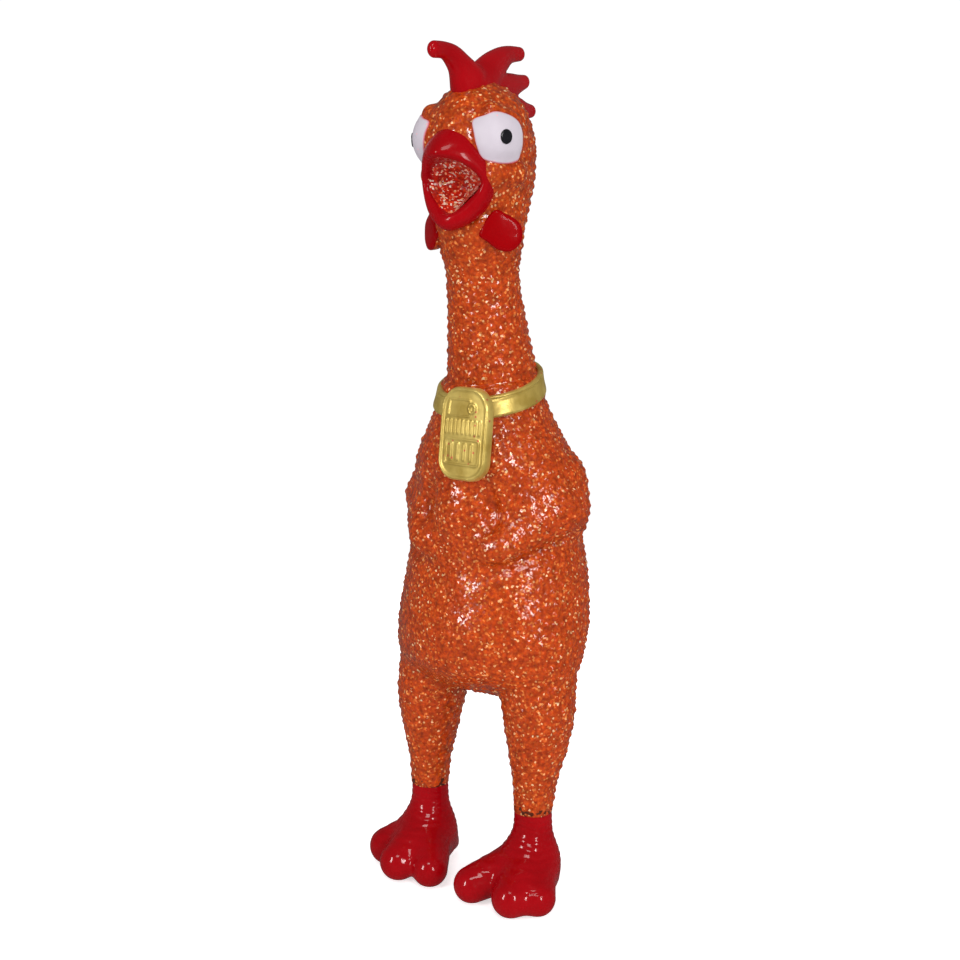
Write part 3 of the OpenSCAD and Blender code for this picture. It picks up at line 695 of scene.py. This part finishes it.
bl("belly_skin")
bl("chest_skin")
bl("neck_low_skin")
bl("neck_mid_skin")
bl("neck_top_skin")
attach(made["face_skin"], "head")
for side, sg in (("left", 1), ("right", -1)):
    n = np.array([0.4983 * sg, 0, -0.867])
    s = np.array([8.0 * sg, 4.5, 80.5])
    bl(side + "_leg_skin")
    bl(side + "_ankle_skin")
    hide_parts(side + "_leg")
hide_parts("belly_panel")
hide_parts("torso_skin", "left_wing", "right_wing", "tail")
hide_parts("neck_lower")
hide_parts("neck_upper")
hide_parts("head_skin")


# ---------------------------------------------------------------- feet
def foot_f(P, ends):
    x, y, z = P.T
    col = np.hypot(x - 24.5, y - 0.3) - np.interp(z, [10, 16, 20, 24, 34, 38], [9.5, 8.6, 8.0, 7.65, 7.2, 7.1])
    col = smax(smax(col, z - 35.2, 0.6), 6 - z, 2.0)
    f = None
    for a, b, r0, r1 in ends:
        t = capsule(P, a, b, r0, r1)
        f = t if f is None else smin(f, t, 4.2)
    hl = capsule(P, (24.2, 1.2, 13.2), (23.0, 7.6, 5.6), 7.6, 5.6)
    f = smin(f, hl, 4.0)
    f = smin(f, capsule(P, (24.6, -4, 7), (25.0, -10, 6.6), 9.2, 8.0), 3.0)
    f = smin(f, col, 6.0)
    # fine wrinkles across the ankle and instep
    f = f + 0.085 * np.sin(2.5 * z + 0.7 * np.sin(0.55 * x + 0.4 * y) + 0.25 * y) * np.clip((z - 10) / 5, 0, 1) * np.clip((33.5 - z) / 2, 0, 1)
    # creases of the instep
    f = f + 0.2 * np.exp(-((z - (15.5 + 0.25 * (y + 2))) / 0.7) ** 2) * np.clip((-y - 1) / 6, 0, 1) * (z > 11)
    return smax(f, 0.0 - z, 1.6)


TOES = {"left": [((22.8, -2.0, 13.4), (9.5, -19.6, 6.9), 9.2, 7.1), ((25.0, -3.0, 14.2), (28.0, -20.8, 7.2), 9.4, 7.4), ((26.0, -1.0, 13.0), (35.9, -14.6, 6.9), 8.3, 6.9)],
        "right": [((22.8, -2.0, 13.4), (11.4, -18.4, 7.0), 9.2, 7.1), ((24.6, -3.0, 14.2), (25.0, -20.6, 7.3), 9.4, 7.5), ((26.0, -0.8, 13.0), (37.0, -11.8, 7.2), 8.3, 7.5)]}
for side, sg in (("left", 1), ("right", -1)):
    ff = lambda P: foot_f(P, TOES[side])
    pf, qf = surface_nets(ff, (0.5, -31, -2), (48, 19, 38), 0.9)
    pf = newton(ff, relax(pf, qf, 3), 3)
    pf, qf = subdivide(pf, qf)
    pf = newton(ff, relax(newton(ff, pf, 2), qf, 2, 0.4), 1)
    pf[:, 2] = np.maximum(pf[:, 2], 0.0)
    p2 = pf * np.array([sg, 1, 1])
    q2 = qf if sg > 0 else qf[:, ::-1]
    o = build(side + "_foot_paint", p2, q2, [RED_FOOT_DARKENED], N=normals(p2, q2))
    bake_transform(o)
    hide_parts(side + "_foot")

# ---------------------------------------------------------------- eyes
def ray_skin(c, dirs, off, f=None, r0=6.0, r1=12.9):
    f = f or face_plain
    lo = np.full(len(dirs), r0)
    hi = np.full(len(dirs), r1)
    for _ in range(26):
        m = (lo + hi) / 2
        v = f(c + dirs * m[:, None])
        lo = np.where(v < 0, m, lo)
        hi = np.where(v < 0, hi, m)
    return newton(f, c + dirs * lo[:, None], 4, 0.8, off)


def face_plain(P):
    return body_f(P)


def catmull(P, n, closed=True):
    P = np.asarray(P, float)
    m = len(P)
    t = (np.arange(n) / n)[:, None]
    out = []
    for i in range(m if closed else m - 1):
        g = (lambda j: P[j % m]) if closed else (lambda j: P[min(max(j, 0), m - 1)])
        a, b, c, d_ = g(i - 1), g(i), g(i + 1), g(i + 2)
        out.append(0.5 * (2 * b + (c - a) * t + (2 * a - 5 * b + 4 * c - d_) * t ** 2 + (3 * b - a - 3 * c + d_) * t ** 3))
    if not closed:
        out.append(P[-1:])
    return np.concatenate(out)


def patch(outline, centre, c, rings, name, mat, side, node_name, edge_from=0.93):
    """a thin raised painted patch on the eyeball: outline and centre are directions from the ball's centre c"""
    O = outline / np.linalg.norm(outline, axis=1, keepdims=True)
    D0 = np.asarray(centre, float) / np.linalg.norm(centre)
    n = len(O)
    pts, edge = [ray_skin(c, D0[None], rings[0][1])], [0.0]
    for s, off in rings[1:]:
        d_ = D0 * (1 - s) + O * s
        d_ = d_ / np.linalg.norm(d_, axis=1, keepdims=True)
        pts.append(ray_skin(c, d_, off))
        edge += [float(np.clip((s - edge_from) / (1 - edge_from), 0, 1))] * n
    V = np.concatenate(pts)
    F = [[0, 1 + i, 1 + (i + 1) % n, 1 + (i + 1) % n] for i in range(n)]
    for k in range(len(rings) - 2):
        a, b = 1 + k * n, 1 + (k + 1) * n
        F += [[a + i, b + i, b + (i + 1) % n, a + (i + 1) % n] for i in range(n)]
    F = np.array(F)
    T = F.copy()
    if side < 0:
        V = V * np.array([-1, 1, 1])
        F = np.array([[f[0], f[2], f[1], f[1]] if f[2] == f[3] else f[::-1] for f in F])
    o = build(name, V, F, [mat], edge=edge)
    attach(o, "head")
    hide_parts(node_name)
    return o


EYE_OUT = catmull([(-0.6, -10.3, 5.1), (2.9, -8.9, 6.7), (5.8, -5.9, 7.9), (8.6, -2.5, 7.2), (10.2, 1.4, 4.9), (10.9, 2.8, 1.8), (11.0, 3.3, -1.2),
                   (10.3, 4.4, -4.0), (9.4, 5.2, -6.2), (8.8, 4.6, -7.8), (8.6, 2.0, -8.8), (7.8, -1.2, -9.3), (6.6, -4.1, -9.4), (4.9, -6.8, -9.0),
                   (3.0, -8.4, -8.1), (1.9, -9.5, -6.7), (1.4, -10.8, -3.7), (0.5, -11.4, 1.0)], 5)
EYE_MID = np.array([7.0, -6.5, -0.8])
RINGS = [(0.0, 0.42)] + [(s, 0.42) for s in (0.14, 0.28, 0.42, 0.56, 0.7, 0.82, 0.91)] + [(0.96, 0.38), (0.985, 0.25), (1.0, 0.0), (1.005, -0.3)]
PUP_D = np.array([10.0, -5.6, -0.4])
PUP_D = PUP_D / np.linalg.norm(PUP_D)
u_ = np.cross([0, 0, 1.0], PUP_D)
u_ /= np.linalg.norm(u_)
v_ = np.cross(PUP_D, u_)
th = np.linspace(0, 2 * np.pi, 40, endpoint=False)
PUP_OUT = PUP_D + (u_ * np.cos(th)[:, None] * 2.15 + v_ * np.sin(th)[:, None] * 2.45) / 11.5
PR = [(0.0, 0.80)] + [(s, 0.80) for s in (0.3, 0.6, 0.8)] + [(0.92, 0.76), (1.0, 0.62), (1.03, 0.38)]
for side, sg in (("left", 1), ("right", -1)):
    patch(EYE_OUT, EYE_MID, EYE_C, RINGS, side + "_eye_white", WHITE, sg, side + "_eye")
    patch(PUP_OUT, PUP_D, EYE_C, PR, side + "_pupil_dot", BLACK, sg, side + "_pupil")

# ---------------------------------------------------------------- beak and mouth
K = np.array([
    [[0, -15.2, 290.0], [0, -21.2, 288.4], [0, -25.6, 284.6], [0, -28.4, 280.6], [0, -27.0, 278.8], [0, -22.5, 278.0], [0, -17.2, 277.2]],
    [[9.4, -14.6, 284.6], [9.4, -18.9, 283.6], [8.8, -22.0, 281.6], [7.8, -23.8, 278.6], [7.2, -22.6, 277.0], [7.2, -20.4, 276.4], [7.2, -17.9, 276.0]],
    [[14.2, -11.2, 271.2], [14.4, -14.6, 271.2], [14.0, -16.4, 271.0], [12.8, -17.2, 270.8], [11.6, -16.6, 270.6], [10.8, -15.6, 270.4], [10.1, -14.5, 270.3]],
    [[10.0, -12.0, 259.8], [10.2, -15.8, 259.4], [9.4, -18.6, 259.6], [8.2, -19.8, 261.6], [7.2, -19.0, 263.0], [6.8, -17.8, 264.0], [6.4, -16.5, 264.8]],
    [[0, -14.6, 254.2], [0, -19.6, 253.6], [0, -22.2, 255.2], [0, -22.6, 258.0], [0, -21.0, 259.3], [0, -19.6, 259.6], [0, -18.1, 259.8]]])
full = np.array(list(K) + [k * np.array([-1, 1, 1]) for k in K[3:0:-1]])
NS = 14
ring = catmull(full.reshape(8, -1), NS).reshape(8 * NS, 7, 3)
NC = 7
loft = np.array([catmull(s, NC, closed=False) for s in ring])          # (112, 43, 3)
na, nb = loft.shape[:2]
allV = loft.reshape(-1, 3)
Fq = np.array([[i * nb + j, ((i + 1) % na) * nb + j, ((i + 1) % na) * nb + j + 1, i * nb + j + 1] for i in range(na) for j in range(nb - 1)])
NB = normals(allV, Fq)
ctr = np.array([0, -10, 270.0])
if ((allV[Fq[:, 0]] - ctr) * NB[Fq[:, 0]]).sum() < 0:
    Fq = Fq[:, ::-1]
    NB = -NB
st = np.repeat(np.arange(na), nb - 1)
upper = (st < 2 * NS) | (st >= 6 * NS)
for nm, sel, rep in (("beak_upper_paint", upper, "upper_beak"), ("beak_lower_paint", ~upper, "lower_beak")):
    p, f, n, u = take(allV, Fq, NB, sel)
    o = build(nm, p, f, [RED], N=n)
    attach(o, "head")
    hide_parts(rep)
# mouth bowl behind the lips
r_in = ring[:, 6]
cen = np.array([0, -7.6, 269.0])
rows = [r_in + (r_in - cen) * 0.10 + np.array([0, -0.9, 0])]
for s, dy in ((0.06, 0.0), (0.2, 0.8), (0.4, 1.6), (0.6, 2.0), (0.78, 1.6), (0.9, 0.8)):
    rows.append(r_in * (1 - s) + cen * s + np.array([0, dy, 0]) * 0.9)
rows = np.array(rows)
rows = rows + 0.28 * np.sin(rows[..., [2]] * 2.1 + rows[..., [0]] * 1.7) * np.array([0, 1, 0])
V = np.concatenate([rows.reshape(-1, 3), cen[None] + np.array([[0, 0.3, 0]])])
F = [[k * na + i, k * na + (i + 1) % na, (k + 1) * na + (i + 1) % na, (k + 1) * na + i] for k in range(len(rows) - 1) for i in range(na)]
last = len(V) - 1
F += [[(len(rows) - 1) * na + i, (len(rows) - 1) * na + (i + 1) % na, last, last] for i in range(na)]
F = np.array(F)
nn = normals(V, F)
if (nn[:na * 3, 1]).mean() > 0:
    F = np.array([[f[0], f[2], f[1], f[1]] if f[2] == f[3] else f[::-1] for f in F])
o = build("mouth_bowl", V, F, [MOUTH])
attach(o, "head")
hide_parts("mouth_lining")

# ---------------------------------------------------------------- comb
PRONGS = [[(-6.4, 303.6, 8.2), (-11.6, 309.2, 5.4), (-16.6, 312.8, 4.1), (-22.0, 314.5, 3.0), (-27.7, 314.4, 2.9)],
          [(-1, 302.6, 8.4), (5, 309.2, 6.4), (12, 313.8, 4.8), (18.5, 316.6, 3.3), (25.8, 317.6, 2.6)],
          [(8, 302.6, 7), (18, 305.3, 5.0), (24.5, 306.8, 3.5), (29.3, 307.9, 2.6)],
          [(10, 297, 7), (22, 297.2, 5.4), (29, 297.5, 3.4), (34, 297.6, 2.5)]]


def comb_f(P):
    G = P * np.array([1.28, 1, 1])
    f = None
    for p in PRONGS:
        g = None
        q = catmull(np.array(p, float), 6, closed=False)
        for a, b in zip(q[:-1], q[1:]):
            c = capsule(G, (0, a[0], a[1]), (0, b[0], b[1]), a[2], b[2])
            g = c if g is None else np.minimum(g, c)
        f = g if f is None else smin(f, g, 1.3)
    return f


pc, qc = surface_nets(comb_f, (-8, -33, 288), (8, 42, 324), 0.7)
pc = newton(comb_f, relax(pc, qc, 6), 4)
pc, qc = subdivide(pc, qc)
pc = newton(comb_f, relax(pc, qc, 4, 0.5), 2)
pc = relax(pc, qc, 2, 0.3)
keep = (body_f(pc[qc].mean(1)) > -1.5)
p, f, n, u = take(pc, qc, normals(pc, qc), keep)
o = build("comb_paint", p, f, [RED_SMOOTH_LIGHTENED], N=n)
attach(o, "head")
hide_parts("comb")

# ---------------------------------------------------------------- wattles
W = catmull([(13.5, -11.2, 260.6), (17.3, -8.1, 259.2), (20.6, -5.5, 256.4), (21.5, -4.7, 252.6), (20.8, -5.4, 248.9), (18.2, -7.4, 246.4),
             (14.8, -10.1, 246.9), (11.8, -12.5, 249.6), (9.4, -14.4, 252.8)], 8)
wn = np.array([0.62, -0.78, -0.05])
wn /= np.linalg.norm(wn)
wc = W.mean(0)
nw = len(W)
prof = [(0.3, 0.55, 0), (0.6, 0.5, 0), (0.82, 0.35, 0), (0.92, 0.12, 0), (0.97, -0.2, 0), (0.995, -0.65, 0), (1.0, -1.0, 1), (0.99, -2.2, 1),
        (0.96, -3.4, 1), (0.90, -4.2, 1), (0.8, -4.8, 1), (0.5, -5.0, 1)]
V = [wc[None] + wn * 0.6]
for s, off, _ in prof:
    V.append(wc + (W - wc) * s + wn * off)
V.append(wc[None] - wn * 5.0)
V = np.concatenate(V)
F = [[0, 1 + i, 1 + (i + 1) % nw, 1 + (i + 1) % nw] for i in range(nw)]
fm = [0] * nw
for k in range(len(prof) - 1):
    a, b = 1 + k * nw, 1 + (k + 1) * nw
    F += [[a + i, b + i, b + (i + 1) % nw, a + (i + 1) % nw] for i in range(nw)]
    fm += [prof[k][2]] * nw
e = 1 + (len(prof) - 1) * nw
F += [[len(V) - 1, e + (i + 1) % nw, e + i, e + i] for i in range(nw)]
fm += [1] * nw
F = np.array(F)
if (normals(V, F)[0] @ wn) < 0:
    F = np.array([[f[0], f[2], f[1], f[1]] if f[2] == f[3] else f[::-1] for f in F])
for side, sg in (("left", 1), ("right", -1)):
    V2 = V * np.array([sg, 1, 1])
    F2 = F if sg > 0 else np.array([[f[0], f[2], f[1], f[1]] if f[2] == f[3] else f[::-1] for f in F])
    o = build(side + "_wattle_flap", V2, F2, [RED_WATTLE_DARKENED, SKIN], face_mat=fm)
    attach(o, "head")
    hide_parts(side + "_wattle")

# ---------------------------------------------------------------- collar
ang = np.linspace(0, 2 * np.pi, 120, endpoint=False)
prof = [(-3.9, -0.5), (-4.05, 0.5), (-3.9, 1.15), (-3.4, 1.5), (-2.7, 1.62), (-1.4, 1.6), (0, 1.56), (1.4, 1.6), (2.2, 1.62), (2.45, 1.25), (2.75, 1.25),
        (3.0, 1.66), (3.5, 1.6), (3.95, 1.2), (4.05, 0.5), (3.9, -0.5)]


def skin_smooth(P):
    return np.minimum(oval(P, T_TORSO), smax(np.linalg.norm(P - N0 - neck_z(P)[:, None] * NA, axis=1) - at(T_NECK, neck_z(P), 1) - 0.4, -2 - neck_z(P), 1.0))


V = []
for s, off in prof:
    d_ = np.stack([np.sin(ang), -np.cos(ang), np.zeros_like(ang)], 1)
    zc = 195.3 - 0.30 * 18.5 * np.cos(ang)
    c0 = np.stack([np.zeros_like(ang), np.full_like(ang, 8.0), zc + s], 1)
    lo = np.full(len(ang), 8.0)
    hi = np.full(len(ang), 34.0)
    for _ in range(24):
        m = (lo + hi) / 2
        v = skin_smooth(c0 + d_ * m[:, None])
        lo = np.where(v < 0, m, lo)
        hi = np.where(v < 0, hi, m)
    V.append(c0 + d_ * (lo + off)[:, None])
V = np.concatenate(V)
n = len(ang)
F = np.array([[k * n + i, k * n + (i + 1) % n, (k + 1) * n + (i + 1) % n, (k + 1) * n + i] for k in range(len(prof) - 1) for i in range(n)]
             + [[(len(prof) - 1) * n + i, (len(prof) - 1) * n + (i + 1) % n, (i + 1) % n, i] for i in range(n)])
NN = normals(V, F)
if ((V - np.array([0, 8, 195.0])) * NN)[:n * 10, :2].sum() < 0:
    F = F[:, ::-1]
o = build("collar_strap", V, F, [GOLD])
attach(o, "torso")
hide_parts("collar_band")

# ---------------------------------------------------------------- tag (in its own plane, then placed)
def rbox(x, y, hx, hy, r):
    qx, qy = np.abs(x) - (hx - r), np.abs(y) - (hy - r)
    return np.hypot(np.maximum(qx, 0), np.maximum(qy, 0)) + np.minimum(np.maximum(qx, qy), 0) - r


def step_(d_, w):
    return np.clip(0.5 - d_ / (2 * w), 0, 1)


def tag_f(P):
    x, y, z = P.T
    hx = 10.9 - 0.9 * np.clip((y - 4) / 13, 0, 1) ** 1.5
    u = x / hx * 10.9
    o = rbox(u, y, 10.9, 17.0, 7.6)
    top = 2.0 + 0.5 * (1 - (u / 10.9) ** 2)
    top = top + 0.55 * step_(np.abs(o + 0.9) - 0.55, 0.5)                       # rolled rim
    # upper plaque: a thin frame around a plain disc
    pan = rbox(u + 2.2, y - 9.4, 5.0, 3.0, 0.8)
    top = top + 0.34 * step_(np.abs(pan) - 0.26, 0.2)
    disc = np.hypot(u - 3.6, y - 9.4)
    top = top + 0.5 * step_(np.abs(disc - 1.5) - 0.42, 0.22)
    # a row of plain upright ribs
    row = rbox(u, y - 2.4, 8.5, 2.6, 0.5)
    ribs = step_(np.abs((u + 60.0) % 1.9 - 0.95) - 0.34, 0.18) * step_(row, 0.25)
    top = top + 0.5 * ribs
    # lower plaque: taller plain ribs inside a frame
    low = rbox(u, y + 6.6, 7.6, 4.6, 1.2)
    top = top + 0.38 * step_(np.abs(low) - 0.34, 0.2)
    bars = step_(np.abs((u + 60.3) % 3.0 - 1.5) - 0.55, 0.2) * step_(rbox(u, y + 6.6, 6.1, 3.2, 0.5), 0.25)
    top = top + 0.46 * bars
    plate = smax(smax(o, z - top, 1.3), -1.5 - z, 0.8)
    stem = smax(rbox(x, y - 5.5, 6.0, 8.0, 3.0), np.maximum(z - 0.5, -4.2 - z), 0.6)
    return smin(plate, stem, 0.6)


pt, qt = surface_nets(tag_f, (-12.6, -18.6, -5), (12.6, 18.6, 5), 0.36)
pt = newton(tag_f, pt, 2, 0.2)
pt = relax(pt, qt, 1, 0.25)
az, tl = math.radians(-3), math.radians(83)
R1 = np.array([[1, 0, 0], [0, math.cos(tl), -math.sin(tl)], [0, math.sin(tl), math.cos(tl)]])
R2 = np.array([[math.cos(az), -math.sin(az), 0], [math.sin(az), math.cos(az), 0], [0, 0, 1]])
tagP = (pt @ R1.T) @ R2.T + np.array([4.9, -16.0, 181.0])
o = build("tag_plate", tagP, qt, [GOLD], N=normals(tagP, qt))
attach(o, "torso")
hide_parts("name_tag")

# ---------------------------------------------------------------- carried-over squeaker nodes
for nm, m in (("squeaker_barrel", PLASTIC), ("squeaker_cap", PLASTIC), ("reed_block", PLASTIC), ("reed_clip", PLASTIC), ("reed_tongue", REED)):
    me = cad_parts[nm].data
    me.materials.clear()
    me.materials.append(m)

# ---------------------------------------------------------------- floor, lights, camera
def stage_mat():
    m, nt, b = new_mat("pale_floor")
    b.inputs["Base Color"].default_value = (0.90, 0.90, 0.91, 1)
    b.inputs["Roughness"].default_value = 0.95
    b.inputs["Specular IOR Level"].default_value = 0.05
    b.inputs["Emission Color"].default_value = (1, 1, 1, 1)
    tc = node(nt, "ShaderNodeTexCoord")
    ln = node(nt, "ShaderNodeVectorMath", operation="LENGTH")
    nt.links.new(tc.outputs["Object"], ln.inputs[0])
    mr = node(nt, "ShaderNodeMapRange")
    mr.interpolation_type = "SMOOTHSTEP"
    mr.inputs["From Min"].default_value = 0.05
    mr.inputs["From Max"].default_value = 0.38
    mr.inputs["To Min"].default_value = 0.62
    mr.inputs["To Max"].default_value = 0.95
    nt.links.new(ln.outputs["Value"], mr.inputs["Value"])
    lpf = node(nt, "ShaderNodeLightPath")
    seen = math_n(nt, "MULTIPLY_ADD", lpf.outputs["Is Camera Ray"], 0.72, 0.28)
    nt.links.new(math_n(nt, "MULTIPLY", mr.outputs[0], seen), b.inputs["Emission Strength"])
    return m


me = bpy.data.meshes.new("floor")
n = 96
me.from_pydata([(0.48 * math.cos(2 * math.pi * i / n), 0.48 * math.sin(2 * math.pi * i / n), -0.0002) for i in range(n)], [], [tuple(range(n))])
me.materials.append(stage_mat())
floor = bpy.data.objects.new("floor", me)
bpy.context.scene.collection.objects.link(floor)
floor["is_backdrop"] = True

w = bpy.data.worlds.new("studio")
bpy.context.scene.world = w
w.use_nodes = True
nt = w.node_tree
nt.nodes.clear()
out = nt.nodes.new("ShaderNodeOutputWorld")
mixs = nt.nodes.new("ShaderNodeMixShader")
bg_cam = nt.nodes.new("ShaderNodeBackground")
bg_cam.inputs[0].default_value = (1, 1, 1, 1)
bg_cam.inputs[1].default_value = 1.05
bg = nt.nodes.new("ShaderNodeBackground")
bg.inputs[0].default_value = (0.96, 0.97, 1.0, 1)
bg.inputs[1].default_value = 0.30
lp = nt.nodes.new("ShaderNodeLightPath")
nt.links.new(lp.outputs["Is Camera Ray"], mixs.inputs[0])
# the room is dimmer in reflections than as fill, like a dark studio around a pale sweep
nt.links.new(math_n(nt, "MULTIPLY_ADD", lp.outputs["Is Glossy Ray"], -0.20, 0.30), bg.inputs[1])
nt.links.new(bg.outputs[0], mixs.inputs[1])
nt.links.new(bg_cam.outputs[0], mixs.inputs[2])
nt.links.new(mixs.outputs[0], out.inputs[0])


def area(name, az, dist, z, sx, sy, radiance, target=(0, 0, 0.15), color=(1, 1, 1)):
    L = bpy.data.lights.new(name, "AREA")
    L.shape = "RECTANGLE"
    L.size, L.size_y = sx, sy
    L.energy = radiance * sx * sy * math.pi
    L.color = color
    o = bpy.data.objects.new(name, L)
    a = math.radians(az)
    o.location = (dist * math.sin(a), -dist * math.cos(a), z)
    o.rotation_euler = (Vector(target) - Vector(o.location)).to_track_quat("-Z", "Y").to_euler()
    bpy.context.scene.collection.objects.link(o)
    return o


area("softbox_left", -14, 1.1, 0.47, 0.17, 0.42, 23.5, target=(0, 0, 0.19))
area("softbox_right", 57, 1.1, 0.47, 0.15, 0.42, 23.0, target=(0, 0, 0.19))
area("softbox_top", 25, 0.7, 1.1, 0.34, 0.34, 9.0)
for o in (area("fill_left", -100, 1.0, 0.45, 0.4, 0.6, 2.3), area("fill_right", 98, 1.0, 0.45, 0.6, 0.7, 2.7), area("fill_back", 170, 1.0, 0.4, 0.5, 0.7, 1.8)):
    o.visible_glossy = False
floor.visible_glossy = False

cam = bpy.data.cameras.new("camera")
cam.lens = 51.15
cam.sensor_width = 36.0
cam.clip_start = 0.01
co = bpy.data.objects.new("camera", cam)
co.location = (0.2827, -0.4271, 0.260)
co.rotation_euler = (math.radians(90 - 11.1), 0, math.radians(34))
bpy.context.scene.collection.objects.link(co)
bpy.context.scene.camera = co
bpy.context.scene.view_settings.view_transform = "Standard"

size = {"cad_box": [list(v) for v in CAD_BOX], "visual_box": [list(v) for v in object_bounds()]}
